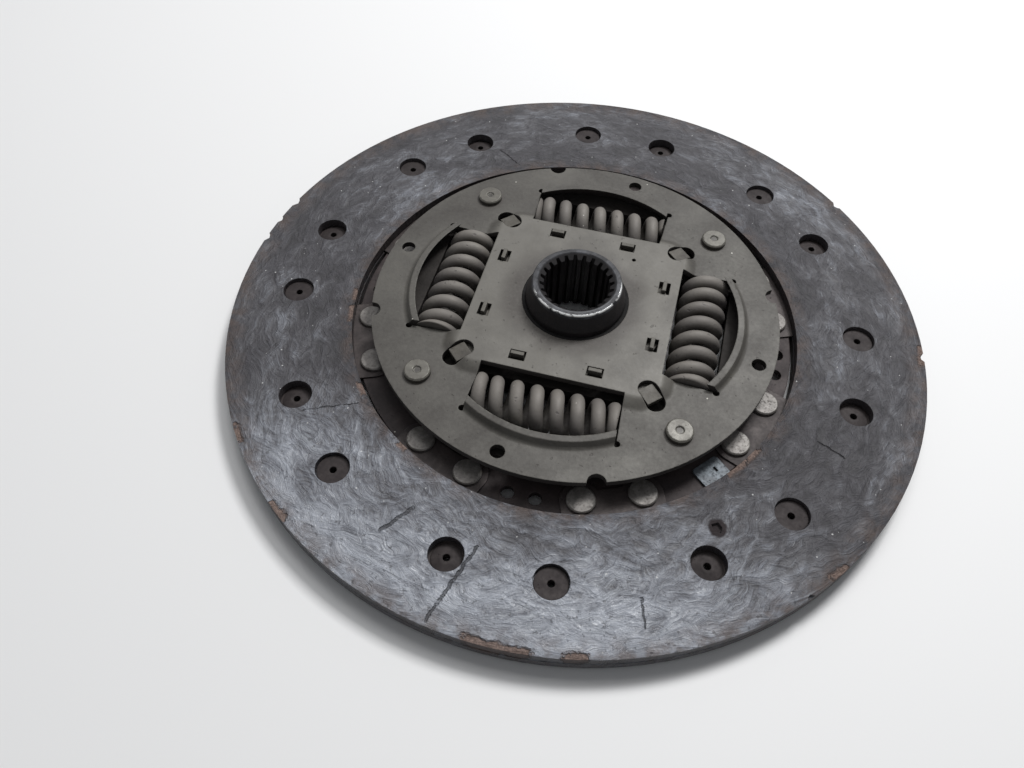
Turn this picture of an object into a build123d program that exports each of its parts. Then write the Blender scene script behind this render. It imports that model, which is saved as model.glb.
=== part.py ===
from build123d import *
import os
from math import asin, atan, cos, degrees, radians, sin, sqrt, tan

# Dry clutch disc with a sprung hub, 240 mm across.
# The origin is on the hub axis, at the mid-plane of the friction pack. +Z points along the hub's long
# nose, to the gearbox side. The four spring windows lie on the X and Y axes. All sizes are in mm.

# --- Friction pack -----------------------------------------------------------------------------------
facing_outer_radius = 120.0
facing_bore_gap = 1.2         # between the carrier plate's edge and the facings' bore
facing_thickness = 3.3
cushion_height = 0.9          # free height of the waved segments between the two facings
segment_thickness = 0.6
segment_count = 8
segment_gap = 2.8             # slot between two neighbouring segments
paddle_bore_margin = 2.0      # the paddle starts this far outside the facings' bore
paddle_rim_margin = 1.5       # the paddle stops this far inside the facing's rim

facing_rivet_circle = 98.8
facing_rivet_offset = 13.4    # degrees each side of a segment's middle
counterbore_radius = 5.4
counterbore_depth = 2.3
rivet_head_radius = 5.1
rivet_head_thickness = 0.8
rivet_shank_radius = 2.0
rivet_bore_radius = 1.15
rivet_tail_radius = 4.7
rivet_tail_thickness = 0.9
rivet_hole_clearance = 0.05

pit_radius = 2.0              # a torn pit in the front facing
pit_depth = 1.0
pit_circle = 90.3
pit_angle = -49.3
rim_chips = [                 # chips broken from the front facing's rim: angle, length, bite, depth
    (167.5, 4.6, 1.3, 1.5),
    (172.6, 3.4, 1.0, 1.1),
    (177.4, 4.2, 1.2, 1.8),
    (43.1, 3.8, 1.2, 1.3),
    (6.4, 3.6, 1.5, 2.0),
    (-43.5, 3.2, 0.9, 1.0),
]

# --- Carrier plate and the segments' feet ------------------------------------------------------------
carrier_outer_radius = 76.3
plate_thickness = 2.2         # carrier plate and counter plate alike
plate_bore_radius = 18.4
foot_rivet_inset = 5.1        # from the carrier plate's edge
foot_rivet_offset = 7.8       # degrees each side of a segment's middle
foot_lobe_radius = 6.6
foot_rivet_head_radius = 4.6
foot_rivet_head_height = 1.3
foot_rivet_shank_radius = 2.5
foot_rivet_tail_radius = 3.9
foot_rivet_tail_height = 0.9
vent_hole_radius = 2.2
vent_hole_inset = 4.6         # from the carrier plate's edge
vent_hole_offset = 3.5

# --- Damper springs and their windows ----------------------------------------------------------------
spring_count = 4
spring_axis_distance = 43.2
spring_axis_z = 3.9
spring_outer_radius = 8.5
spring_wire_radius = 2.3
spring_pitch = 6.2
spring_length = 47.2
spring_seat_clearance = 0.1   # at each ground end
window_inner_distance = 33.95
window_side_flare = 1.4       # each side is this much further out at the relief hole
relief_hole_radius = 1.1
lance_gap = 0.5               # cut between a lip's end and its plate
lip_arc_center = 12.5         # the lips' plan arcs are drawn from here, not from the hub axis
lip_base_radius = 46.6        # plan radius of the bend
lip_height = 2.4              # its free edge is level
lip_slope = 60.0              # degrees above the plate
lip_wall = 1.85               # drawn thinner than the plate
lip_bend_radius = 1.5
lip_edge_rounding = 0.35

# --- Counter plate -----------------------------------------------------------------------------------
counter_outer_radius = 70.0
counter_underside_z = 7.4
zone_step = 2.3               # height of the raised square middle
zone_half_width = 34.4
zone_corner_distance = 44.5
zone_slope_width = 4.0
zone_corner_rounding = 5.0
zone_bend_radius = 3.0
tab_distance = 28.85
tab_offset = 12.9
tab_slot_width = 5.4
tab_slot_depth = 3.9
lug_slot_start = 40.0
lug_slot_end = 51.0
lug_slot_width = 6.8
rim_hole_circle = 64.9
rim_hole_radius = 2.4
rim_hole_angle = -8.6
rim_notch_radius = 3.0
rim_notch_angle = 18.0
pip_hole_radius = 0.7
pip_hole_circle = 28.4
pip_hole_angle = 55.1

# --- Stop rivets -------------------------------------------------------------------------------------
stop_rivet_circle = 60.4
stop_rivet_angle = 45.0
stop_shoulder_radius = 4.5
stop_spigot_radius = 3.2
stop_head_radius = 4.4
stop_head_height = 1.8
stop_head_rounding = 0.5
stop_dimple_radius = 1.5
stop_dimple_depth = 0.5
stop_tail_radius = 4.6
stop_tail_height = 0.85

# --- Hub and its flange ------------------------------------------------------------------------------
hub_top_z = 20.75
hub_bottom_z = -4.5
hub_top_radius = 15.1
hub_body_radius = 17.0
hub_taper_height = 7.0
hub_edge_break = 0.6
hub_shoulder_radius = 23.6
hub_shoulder_height = 0.9
spline_count = 24
spline_tip_radius = 11.2
spline_root_radius = 12.6
spline_space_at_tip = 1.7
spline_space_at_root = 1.1
mouth_radius = 13.4
mouth_depth = 1.6
rear_mouth_depth = 1.0
flange_thickness = 4.0
flange_bottom_z = 1.6
flange_outer_radius = 64.0
flange_window_clearance = 0.5 # radial, each side of a spring
flange_window_rounding = 1.2
flange_notch_radius = 55.4
flange_travel = 8.0           # degrees each way before a stop rivet meets its notch
flange_notch_clearance = 0.4
drive_tooth_count = 20
drive_root_radius = 20.6
drive_tip_radius = 22.4
drive_tooth_base = 3.6
drive_tooth_top = 2.6
drive_clearance = 0.05

# --- Friction parts between the flange and the plates ------------------------------------------------
running_clearance = 0.06      # radial, hub in its guides
face_clearance = 0.1          # axial, between parts that turn against each other
guide_wall_clearance = 0.05
front_guide_collar_radius = 19.9
guide_collar_thickness = 1.3
rear_ring_outer_radius = 31.0
rear_ring_step_radius = 24.3
control_plate_thickness = 1.3
control_bore_radius = 20.2
control_outer_radius = 32.4
control_arm_width = 5.6
control_tab_width = 4.4
control_tab_thickness = 1.3
control_tab_rise = 1.3        # above the counter plate
lug_start = 41.8
lug_end = 47.5
lug_inner_drop = 0.85         # below the counter plate's raised middle
lug_fall = 0.65               # from there to the outer end
washer_inner_radius = 24.2
washer_outer_radius = 31.0
washer_thickness = 1.2
cone_inner_radius = 20.4
cone_outer_radius = 30.2
cone_thickness = 0.5

# --- Balance clip ------------------------------------------------------------------------------------
clip_angle = -41.0
clip_width = 10.0
clip_reach_share = 0.6        # of the band between the stop rivets' tails and the carrier plate's edge
clip_sheet = 0.8
clip_corner_rounding = 1.2
clip_slot_share = 0.26        # the slot's length as a share of the clip's reach
clip_slot_width = 0.8
clip_slot_offset = 1.7        # along the edge, from the clip's middle

# --- Levels worked out from the sizes above ----------------------------------------------------------
facing_inner_radius = carrier_outer_radius + facing_bore_gap
paddle_inner_radius = facing_inner_radius + paddle_bore_margin
foot_rivet_circle = carrier_outer_radius - foot_rivet_inset
vent_hole_circle = carrier_outer_radius - vent_hole_inset
clip_reach = clip_reach_share * (carrier_outer_radius - stop_rivet_circle - stop_tail_radius)
clip_inner_radius = carrier_outer_radius - clip_reach
facing_back_z = cushion_height / 2
front_face_z = facing_back_z + facing_thickness
high_land_bottom_z = facing_back_z - segment_thickness
low_land_top_z = -facing_back_z + segment_thickness
low_land_bottom_z = -facing_back_z
carrier_top_z = low_land_bottom_z
carrier_bottom_z = carrier_top_z - plate_thickness
counter_top_z = counter_underside_z + plate_thickness
zone_underside_z = counter_underside_z + zone_step
zone_top_z = counter_top_z + zone_step
flange_top_z = flange_bottom_z + flange_thickness
control_plate_z = zone_underside_z - control_plate_thickness
segment_angle = 360 / segment_count
first_segment_angle = segment_angle / 2
window_half_width = spring_length / 2 + spring_seat_clearance
quarter = 90.0
through = 60.0                # longer than anything it cuts


os.makedirs("parts", exist_ok=True)


def save(piece, name):
    """Labels a finished piece and writes it as parts/<name>.step."""
    piece.part.label = name
    export_step(piece.part, f"parts/{name}.step")


def window_side(distance):
    """Half width of a spring window this far from the axis: its sides flare slightly outwards."""
    share = (distance - window_inner_distance) / (lip_arc_center + lip_base_radius - window_inner_distance)
    return window_half_width + window_side_flare * share


# === Facings =========================================================================================
# Both facings are one pressing: every second hole is stepped for a rivet head, and the others are
# full-size holes that clear the tails of the rivets of the opposite facing.
head_hole_angle = first_segment_angle - facing_rivet_offset
tail_hole_angle = first_segment_angle + facing_rivet_offset

with BuildPart() as facing_blank:
    with BuildSketch(Plane.XY.offset(facing_back_z)):
        Circle(facing_outer_radius)
        Circle(facing_inner_radius, mode=Mode.SUBTRACT)
        with PolarLocations(facing_rivet_circle, segment_count, start_angle=head_hole_angle):
            Circle(rivet_shank_radius + rivet_hole_clearance, mode=Mode.SUBTRACT)
        with PolarLocations(facing_rivet_circle, segment_count, start_angle=tail_hole_angle):
            Circle(counterbore_radius, mode=Mode.SUBTRACT)
    extrude(amount=facing_thickness)
    with BuildSketch(Plane.XY.offset(front_face_z)):
        with PolarLocations(facing_rivet_circle, segment_count, start_angle=head_hole_angle):
            Circle(counterbore_radius)
    extrude(amount=-counterbore_depth, mode=Mode.SUBTRACT)

with BuildPart() as front_facing:
    add(facing_blank.part)
    with BuildSketch(Plane.XY.offset(front_face_z)):
        with PolarLocations(pit_circle, 1, start_angle=pit_angle):
            Polygon((-0.9 * pit_radius, -0.5 * pit_radius), (0.2 * pit_radius, -0.8 * pit_radius),
                    (pit_radius, 0), (0.3 * pit_radius, 0.7 * pit_radius),
                    (-0.7 * pit_radius, 0.6 * pit_radius), align=None)
    extrude(amount=-pit_depth, taper=15, mode=Mode.SUBTRACT)
    for chip_angle, chip_length, chip_bite, chip_depth in rim_chips:
        with BuildSketch(Plane.XY.offset(front_face_z)):
            with PolarLocations(facing_outer_radius, 1, start_angle=chip_angle):
                Polygon((chip_length, -0.9 * chip_length), (0, -0.5 * chip_length),
                        (-0.6 * chip_bite, -0.3 * chip_length), (-chip_bite, 0.05 * chip_length),
                        (-0.5 * chip_bite, 0.25 * chip_length), (0, 0.5 * chip_length),
                        (chip_length, 0.9 * chip_length), align=None)
        extrude(amount=-chip_depth, mode=Mode.SUBTRACT)
save(front_facing, "front_facing")

with BuildPart() as rear_facing:
    add(facing_blank.part, rotation=(180, 0, 0))
save(rear_facing, "rear_facing")

# === Cushion segments ================================================================================
# A spring-steel paddle, waved across its width so that its lands touch the two facings in turn, and a
# flat foot with two rivet lobes that lies on the carrier plate. It is drawn along +X.
land_edges = [(-3.0, 3.0), (11.5, 15.0)]   # a wave's slopes, from the middle outwards
paddle_outer_radius = facing_outer_radius - paddle_rim_margin
profile_half_width = paddle_outer_radius * sin(radians(segment_angle / 2)) + 2
upper_line = [
    (-profile_half_width, facing_back_z),
    (-land_edges[1][1], facing_back_z),
    (-land_edges[1][0], low_land_top_z),
    (land_edges[0][0], low_land_top_z),
    (land_edges[0][1], facing_back_z),
    (land_edges[1][0], facing_back_z),
    (land_edges[1][1], low_land_top_z),
    (profile_half_width, low_land_top_z),
]
lower_line = [(y, z - segment_thickness) for y, z in reversed(upper_line)]
wedge_apex = segment_gap / 2 / sin(radians(segment_angle / 2))
wedge_margin = 5.0            # the trimming wedge ends this far outside the paddle
wedge_reach = paddle_outer_radius + wedge_margin
wedge_half = (wedge_reach - wedge_apex) * tan(radians(segment_angle / 2))
foot_rivet_x = foot_rivet_circle * cos(radians(foot_rivet_offset))
foot_rivet_y = foot_rivet_circle * sin(radians(foot_rivet_offset))
foot_half_width = foot_rivet_y + foot_lobe_radius
foot_bridge_depth = 3.2
foot_overlap = 1.5            # how far the foot runs under the paddle's inner edge

with BuildPart() as segment_blank:
    with BuildSketch(Plane.YZ.offset(paddle_inner_radius)):
        Polygon(*upper_line, *lower_line, align=None)
    extrude(amount=paddle_outer_radius - paddle_inner_radius)
    with BuildSketch(Plane.XY.offset(-cushion_height)):
        Circle(paddle_outer_radius)
        Circle(paddle_inner_radius, mode=Mode.SUBTRACT)
        Polygon((wedge_apex, 0), (wedge_reach, -wedge_half), (wedge_reach, wedge_half),
                align=None, mode=Mode.INTERSECT)
    extrude(amount=2 * cushion_height, mode=Mode.INTERSECT)
    with BuildSketch(Plane.XY.offset(low_land_bottom_z)):
        with Locations((foot_rivet_x, foot_rivet_y), (foot_rivet_x, -foot_rivet_y)):
            Circle(foot_lobe_radius)
        with Locations((foot_rivet_x, 0)):
            Rectangle(paddle_inner_radius + foot_overlap - foot_rivet_x, 2 * foot_half_width,
                      align=(Align.MIN, Align.CENTER))
            Rectangle(foot_bridge_depth, 2 * foot_rivet_y, align=(Align.MAX, Align.CENTER))
    extrude(amount=segment_thickness)
    with BuildSketch(Plane.XY.offset(-cushion_height)):
        with Locations((foot_rivet_x, foot_rivet_y), (foot_rivet_x, -foot_rivet_y)):
            Circle(foot_rivet_shank_radius + rivet_hole_clearance)
        with PolarLocations(facing_rivet_circle, 2, start_angle=-facing_rivet_offset,
                            angular_range=4 * facing_rivet_offset):
            Circle(rivet_shank_radius + rivet_hole_clearance)
    extrude(amount=2 * cushion_height, mode=Mode.SUBTRACT)

for number in range(segment_count):
    with BuildPart() as cushion_segment:
        add(segment_blank.part, rotation=(0, 0, first_segment_angle + number * segment_angle))
    save(cushion_segment, f"cushion_segment_{number + 1}")

# === Facing rivets ===================================================================================
# Hollow brass-type rivets. A head sits in the stepped hole of its own facing, and the rolled tail holds
# the segment from behind, inside the clearance hole of the other facing.
head_seat_z = front_face_z - counterbore_depth
tail_seat_z = high_land_bottom_z
with BuildPart() as facing_rivet:
    with BuildSketch(Plane.XZ):
        Polygon(
            (rivet_bore_radius, head_seat_z + rivet_head_thickness),
            (rivet_head_radius, head_seat_z + rivet_head_thickness),
            (rivet_head_radius, head_seat_z),
            (rivet_shank_radius, head_seat_z),
            (rivet_shank_radius, tail_seat_z),
            (rivet_tail_radius, tail_seat_z),
            (rivet_tail_radius, tail_seat_z - rivet_tail_thickness / 2),
            (rivet_shank_radius, tail_seat_z - rivet_tail_thickness),
            (rivet_bore_radius, tail_seat_z - rivet_tail_thickness),
            align=None,
        )
    revolve(axis=Axis.Z)

with BuildPart() as front_facing_rivets:
    with PolarLocations(facing_rivet_circle, segment_count, start_angle=head_hole_angle):
        add(facing_rivet.part)
save(front_facing_rivets, "front_facing_rivets")

with BuildPart() as rear_facing_rivets:
    add(front_facing_rivets.part, rotation=(180, 0, 0))
save(rear_facing_rivets, "rear_facing_rivets")

# === Damper springs ==================================================================================
# Straight, right-hand coil springs, ground flat at both ends. The master lies along Y in the +X window.
coil_radius = spring_outer_radius - spring_wire_radius
coil_start = (spring_axis_distance, -spring_length / 2 - spring_wire_radius, spring_axis_z)

with BuildPart() as spring_blank:
    with BuildLine() as coil_path:
        Helix(pitch=spring_pitch, height=spring_length + 2 * spring_wire_radius, radius=coil_radius,
              center=coil_start, direction=(0, 1, 0))
    with BuildSketch(Plane(origin=coil_path.line @ 0, z_dir=coil_path.line % 0)):
        Circle(spring_wire_radius)
    sweep(is_frenet=True)
    with Locations((spring_axis_distance, 0, spring_axis_z)):
        Box(3 * spring_outer_radius, spring_length, 3 * spring_outer_radius, mode=Mode.INTERSECT)

for number in range(spring_count):
    with BuildPart() as damper_spring:
        add(spring_blank.part, rotation=(0, 0, number * quarter))
    save(damper_spring, f"damper_spring_{number + 1}")

# === Spring windows of the two plates ================================================================
# Each window has a straight inner edge, slightly flared sides, a lip drawn up at 60 degrees along its
# round outer edge, a lance cut at each end of the lip and a small relief hole where the bend stops.
window_reach = lip_arc_center + lip_base_radius
relief_y = window_side(window_reach) - window_side_flare / 5
relief_x = lip_arc_center + sqrt(lip_base_radius**2 - relief_y**2)
wall_across = lip_wall / sin(radians(lip_slope))
lip_run = lip_height / tan(radians(lip_slope))
bend_run = plate_thickness / tan(radians(lip_slope))
lip_overlap = 1.6             # how far a lip's root runs into its plate


opening_corners = [
    (window_inner_distance, -window_side(window_inner_distance)),
    (window_reach, -window_side(window_reach)),
    (window_reach, window_side(window_reach)),
    (window_inner_distance, window_side(window_inner_distance)),
]
lip_end_corners = [
    (window_inner_distance, -window_side(window_inner_distance) + lance_gap),
    (window_reach + lip_overlap, -window_side(window_reach) + lance_gap),
    (window_reach + lip_overlap, window_side(window_reach) - lance_gap),
    (window_inner_distance, window_side(window_inner_distance) - lance_gap),
]
lip_outer = lip_arc_center + lip_base_radius
lip_tip = lip_outer - lip_run
half_plate = plate_thickness / 2

with BuildPart() as window_cutter:
    with BuildSketch(Plane.XY.offset(-through / 2)):
        with Locations((lip_arc_center, 0)):
            Circle(lip_base_radius)
        Polygon(*opening_corners, align=None, mode=Mode.INTERSECT)
        with Locations((relief_x, relief_y), (relief_x, -relief_y)):
            Circle(relief_hole_radius)
    extrude(amount=through)

with BuildPart() as lip_blank:
    with BuildSketch(Plane.XZ) as lip_profile:
        Polygon(
            (lip_outer + lip_overlap, half_plate),
            (lip_outer, half_plate),
            (lip_tip, half_plate + lip_height),
            (lip_tip - wall_across, half_plate + lip_height),
            (lip_outer - wall_across + bend_run, -half_plate),
            (lip_outer + lip_overlap, -half_plate),
            align=None,
        )
        fillet(lip_profile.vertices().sort_by_distance((lip_outer, half_plate))[:1], lip_bend_radius)
        fillet(lip_profile.vertices().sort_by_distance((lip_tip, half_plate + lip_height))[:1],
               lip_edge_rounding)
    revolve(axis=Axis((lip_arc_center, 0, 0), (0, 0, 1)))
    with BuildSketch(Plane.XY.offset(-through / 2)):
        Polygon(*lip_end_corners, align=None)
    extrude(amount=through, mode=Mode.INTERSECT)

# === Carrier plate ===================================================================================
carrier_mid_z = carrier_top_z - half_plate
with BuildPart() as carrier_plate:
    with BuildSketch(Plane.XY.offset(carrier_bottom_z)):
        Circle(carrier_outer_radius)
        Circle(plate_bore_radius, mode=Mode.SUBTRACT)
        with PolarLocations(stop_rivet_circle, spring_count, start_angle=stop_rivet_angle):
            Circle(stop_spigot_radius + rivet_hole_clearance, mode=Mode.SUBTRACT)
        for side in (-1, 1):
            foot_rivet_angle = first_segment_angle + side * foot_rivet_offset
            with PolarLocations(foot_rivet_circle, segment_count, start_angle=foot_rivet_angle):
                Circle(foot_rivet_shank_radius + rivet_hole_clearance, mode=Mode.SUBTRACT)
            with PolarLocations(vent_hole_circle, spring_count, start_angle=side * vent_hole_offset):
                Circle(vent_hole_radius, mode=Mode.SUBTRACT)
    extrude(amount=plate_thickness)
    with PolarLocations(0, spring_count):
        add(window_cutter.part, mode=Mode.SUBTRACT)
    with PolarLocations(0, spring_count):
        with Locations((0, 0, carrier_mid_z)):
            add(lip_blank.part, rotation=(180, 0, 0))
save(carrier_plate, "carrier_plate")

# === Segment rivets ==================================================================================
foot_top_z = low_land_bottom_z + segment_thickness
with BuildPart() as segment_rivet:
    with BuildSketch(Plane.XZ):
        Polygon(
            (0, foot_top_z + foot_rivet_head_height),
            (foot_rivet_head_radius - 0.4, foot_top_z + foot_rivet_head_height),
            (foot_rivet_head_radius, foot_top_z + foot_rivet_head_height - 0.4),
            (foot_rivet_head_radius, foot_top_z),
            (foot_rivet_shank_radius, foot_top_z),
            (foot_rivet_shank_radius, carrier_bottom_z),
            (foot_rivet_tail_radius, carrier_bottom_z),
            (foot_rivet_tail_radius - 0.5, carrier_bottom_z - foot_rivet_tail_height),
            (0, carrier_bottom_z - foot_rivet_tail_height),
            align=None,
        )
    revolve(axis=Axis.Z)

with BuildPart() as segment_rivets:
    for side in (-1, 1):
        foot_rivet_angle = first_segment_angle + side * foot_rivet_offset
        with PolarLocations(foot_rivet_circle, segment_count, start_angle=foot_rivet_angle):
            add(segment_rivet.part)
save(segment_rivets, "segment_rivets")

# === Counter plate ===================================================================================
# A round sheet whose middle is pressed up into a square with cut corners.
counter_mid_z = counter_underside_z + half_plate
zone_taper = degrees(atan(zone_slope_width / zone_step))
form_margin = 1.0             # the pressing is drawn this much larger, then trimmed round
diagonal_pairs = [(1, 1), (-1, 1), (-1, -1), (1, -1)]


def cut_corner_square(half_width, corner_distance):
    """Corner points of a square whose corners are cut off this far out on the diagonals."""
    cut = corner_distance * sqrt(2) - half_width
    points = []
    for across, up in diagonal_pairs:
        pair = [(across * half_width, up * cut), (across * cut, up * half_width)]
        points += pair if across == up else pair[::-1]
    return points


with BuildPart() as pressed_form:
    with BuildSketch(Plane.XY.offset(counter_underside_z - plate_thickness)):
        Circle(counter_outer_radius + form_margin)
    extrude(amount=2 * plate_thickness)
    with BuildSketch(Plane.XY.offset(counter_top_z)) as zone_foot:
        Polygon(*cut_corner_square(zone_half_width + zone_slope_width, zone_corner_distance + zone_slope_width),
                align=None)
        fillet(zone_foot.vertices(), zone_corner_rounding)
    extrude(amount=zone_step, taper=zone_taper)
    zone_edges = pressed_form.faces().sort_by(Axis.Z)[-1].edges()
    foot_ring = pressed_form.faces().filter_by(Axis.Z).sort_by(Axis.Z)[-2]
    fillet(zone_edges + foot_ring.inner_wires()[0].edges(), zone_bend_radius)

with BuildPart() as counter_plate:
    add(pressed_form.part)
    with Locations((0, 0, -plate_thickness)):
        add(pressed_form.part, mode=Mode.SUBTRACT)
    with BuildSketch(Plane.XY.offset(counter_underside_z)):
        Circle(counter_outer_radius)
        with PolarLocations(counter_outer_radius, spring_count, start_angle=rim_notch_angle):
            Circle(rim_notch_radius, mode=Mode.SUBTRACT)
    extrude(amount=2 * plate_thickness + zone_step, mode=Mode.INTERSECT)
    with PolarLocations(0, spring_count):
        add(window_cutter.part, mode=Mode.SUBTRACT)
    with PolarLocations(0, spring_count):
        with Locations((0, 0, counter_mid_z)):
            add(lip_blank.part)
    with BuildSketch(Plane.XY.offset(-through / 2)):
        Circle(plate_bore_radius)
        with PolarLocations(stop_rivet_circle, spring_count, start_angle=stop_rivet_angle):
            Circle(stop_spigot_radius + rivet_hole_clearance)
        with PolarLocations(rim_hole_circle, spring_count, start_angle=rim_hole_angle):
            Circle(rim_hole_radius)
        with PolarLocations(pip_hole_circle, 1, start_angle=pip_hole_angle):
            Circle(pip_hole_radius)
        with PolarLocations((lug_slot_start + lug_slot_end) / 2, spring_count, start_angle=stop_rivet_angle):
            SlotOverall(lug_slot_end - lug_slot_start, lug_slot_width)
        with PolarLocations(0, spring_count):
            with Locations((tab_distance, tab_offset), (tab_distance, -tab_offset)):
                Rectangle(tab_slot_depth, tab_slot_width)
    extrude(amount=through, mode=Mode.SUBTRACT)
save(counter_plate, "counter_plate")

# === Stop rivets =====================================================================================
stop_top_z = counter_top_z + stop_head_height
with BuildPart() as stop_rivet:
    with BuildSketch(Plane.XZ):
        Polygon(
            (0, stop_top_z - stop_dimple_depth),
            (stop_dimple_radius - 0.4, stop_top_z - stop_dimple_depth),
            (stop_dimple_radius, stop_top_z),
            (stop_head_radius - stop_head_rounding, stop_top_z),
            (stop_head_radius, stop_top_z - stop_head_rounding),
            (stop_head_radius, counter_top_z),
            (stop_spigot_radius, counter_top_z),
            (stop_spigot_radius, counter_underside_z),
            (stop_shoulder_radius, counter_underside_z),
            (stop_shoulder_radius, carrier_top_z),
            (stop_spigot_radius, carrier_top_z),
            (stop_spigot_radius, carrier_bottom_z),
            (stop_tail_radius, carrier_bottom_z),
            (stop_tail_radius - stop_head_rounding, carrier_bottom_z - stop_tail_height),
            (0, carrier_bottom_z - stop_tail_height),
            align=None,
        )
    revolve(axis=Axis.Z)

with BuildPart() as stop_rivets:
    with PolarLocations(stop_rivet_circle, spring_count, start_angle=stop_rivet_angle):
        add(stop_rivet.part)
save(stop_rivets, "stop_rivets")

# === Hub =============================================================================================
shoulder_bottom_z = flange_bottom_z - hub_shoulder_height
taper_start_z = hub_top_z - hub_taper_height
with BuildPart() as hub:
    with BuildSketch(Plane.XZ):
        Polygon(
            (0, hub_bottom_z),
            (hub_body_radius - hub_edge_break, hub_bottom_z),
            (hub_body_radius, hub_bottom_z + hub_edge_break),
            (hub_body_radius, shoulder_bottom_z),
            (hub_shoulder_radius, shoulder_bottom_z),
            (hub_shoulder_radius, flange_bottom_z),
            (drive_root_radius, flange_bottom_z),
            (drive_root_radius, flange_top_z),
            (hub_body_radius, flange_top_z),
            (hub_body_radius, taper_start_z),
            (hub_top_radius, hub_top_z - hub_edge_break / 2),
            (hub_top_radius - hub_edge_break / 2, hub_top_z),
            (0, hub_top_z),
            align=None,
        )
    revolve(axis=Axis.Z)
    with BuildSketch(Plane.XY.offset(flange_bottom_z)):
        with PolarLocations(0, drive_tooth_count):
            Polygon(
                (drive_root_radius - 0.5, -drive_tooth_base / 2),
                (drive_tip_radius, -drive_tooth_top / 2),
                (drive_tip_radius, drive_tooth_top / 2),
                (drive_root_radius - 0.5, drive_tooth_base / 2),
                align=None,
            )
    extrude(amount=flange_thickness)
    with BuildSketch(Plane.XY.offset(-through / 2)):
        Circle(spline_tip_radius)
        with PolarLocations(0, spline_count):
            Polygon(
                (spline_tip_radius - 0.5, -spline_space_at_tip / 2),
                (spline_root_radius, -spline_space_at_root / 2),
                (spline_root_radius, spline_space_at_root / 2),
                (spline_tip_radius - 0.5, spline_space_at_tip / 2),
                align=None,
            )
    extrude(amount=through, mode=Mode.SUBTRACT)
    with BuildSketch(Plane.XZ):
        Polygon((0, hub_top_z), (mouth_radius, hub_top_z), (spline_tip_radius, hub_top_z - mouth_depth),
                (0, hub_top_z - mouth_depth), align=None)
        Polygon((0, hub_bottom_z), (mouth_radius, hub_bottom_z),
                (spline_tip_radius, hub_bottom_z + rear_mouth_depth),
                (0, hub_bottom_z + rear_mouth_depth), align=None)
    revolve(axis=Axis.Z, mode=Mode.SUBTRACT)
save(hub, "hub")

# === Hub flange ======================================================================================
# Its notches meet the stop rivets after the damper's full travel each way.
flange_window_depth = 2 * (spring_outer_radius + flange_window_clearance)
shoulder_half_angle = degrees(asin(stop_shoulder_radius / stop_rivet_circle))
notch_clearance_angle = degrees(flange_notch_clearance / stop_rivet_circle)
notch_half_angle = radians(flange_travel + shoulder_half_angle + notch_clearance_angle)
notch_reach = 2 * flange_outer_radius

with BuildSketch() as stop_notch:
    Circle(flange_outer_radius + 2)
    Circle(flange_notch_radius, mode=Mode.SUBTRACT)
    Polygon((0, 0), (notch_reach, -notch_reach * tan(notch_half_angle)),
            (notch_reach, notch_reach * tan(notch_half_angle)), align=None, mode=Mode.INTERSECT)

with BuildPart() as hub_flange:
    with BuildSketch(Plane.XY.offset(flange_bottom_z)):
        Circle(flange_outer_radius)
        Circle(drive_root_radius + drive_clearance, mode=Mode.SUBTRACT)
        with PolarLocations(0, drive_tooth_count):
            Polygon(
                (drive_root_radius - 0.5, -drive_tooth_base / 2 - drive_clearance),
                (drive_tip_radius + drive_clearance, -drive_tooth_top / 2 - drive_clearance),
                (drive_tip_radius + drive_clearance, drive_tooth_top / 2 + drive_clearance),
                (drive_root_radius - 0.5, drive_tooth_base / 2 + drive_clearance),
                align=None, mode=Mode.SUBTRACT,
            )
        with PolarLocations(spring_axis_distance, spring_count):
            RectangleRounded(flange_window_depth, 2 * window_half_width, flange_window_rounding,
                             mode=Mode.SUBTRACT)
        with PolarLocations(0, spring_count, start_angle=stop_rivet_angle):
            add(stop_notch.sketch, mode=Mode.SUBTRACT)
    extrude(amount=flange_thickness)
save(hub_flange, "hub_flange")

# === Control plate ===================================================================================
# It turns with the counter plate: eight tabs and four lugs stand up into the counter plate's slots. Each
# lug is the end of an arm, bent up and then outwards along the slope of the counter plate's middle.
lug_top_z = zone_top_z - lug_inner_drop
lug_end_z = lug_top_z - lug_fall
with BuildPart() as lug_blank:
    with BuildSketch(Plane.XZ):
        Polygon(
            (lug_start, control_plate_z),
            (lug_start, lug_top_z),
            (lug_end, lug_end_z),
            (lug_end, lug_end_z - control_plate_thickness),
            (lug_start + control_plate_thickness, lug_top_z - control_plate_thickness),
            (lug_start + control_plate_thickness, control_plate_z),
            align=None,
        )
    extrude(amount=control_arm_width / 2, both=True)

with BuildPart() as control_plate:
    with BuildSketch(Plane.XY.offset(control_plate_z)):
        Circle(control_outer_radius)
        with PolarLocations(0, spring_count, start_angle=stop_rivet_angle):
            Rectangle(lug_start + control_plate_thickness, control_arm_width, align=(Align.MIN, Align.CENTER))
        Circle(control_bore_radius, mode=Mode.SUBTRACT)
    extrude(amount=control_plate_thickness)
    with PolarLocations(0, spring_count, start_angle=stop_rivet_angle):
        add(lug_blank.part)
    with BuildSketch(Plane.XY.offset(control_plate_z)):
        with PolarLocations(0, spring_count):
            with Locations((tab_distance, tab_offset), (tab_distance, -tab_offset)):
                Rectangle(control_tab_thickness, control_tab_width)
    extrude(amount=zone_top_z + control_tab_rise - control_plate_z)
save(control_plate, "control_plate")

# === Friction parts ==================================================================================
washer_bottom_z = flange_top_z + face_clearance
washer_top_z = washer_bottom_z + washer_thickness
with BuildPart() as front_friction_washer:
    with BuildSketch(Plane.XY.offset(washer_bottom_z)):
        Circle(washer_outer_radius)
        Circle(washer_inner_radius, mode=Mode.SUBTRACT)
    extrude(amount=washer_thickness)
save(front_friction_washer, "front_friction_washer")

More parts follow.
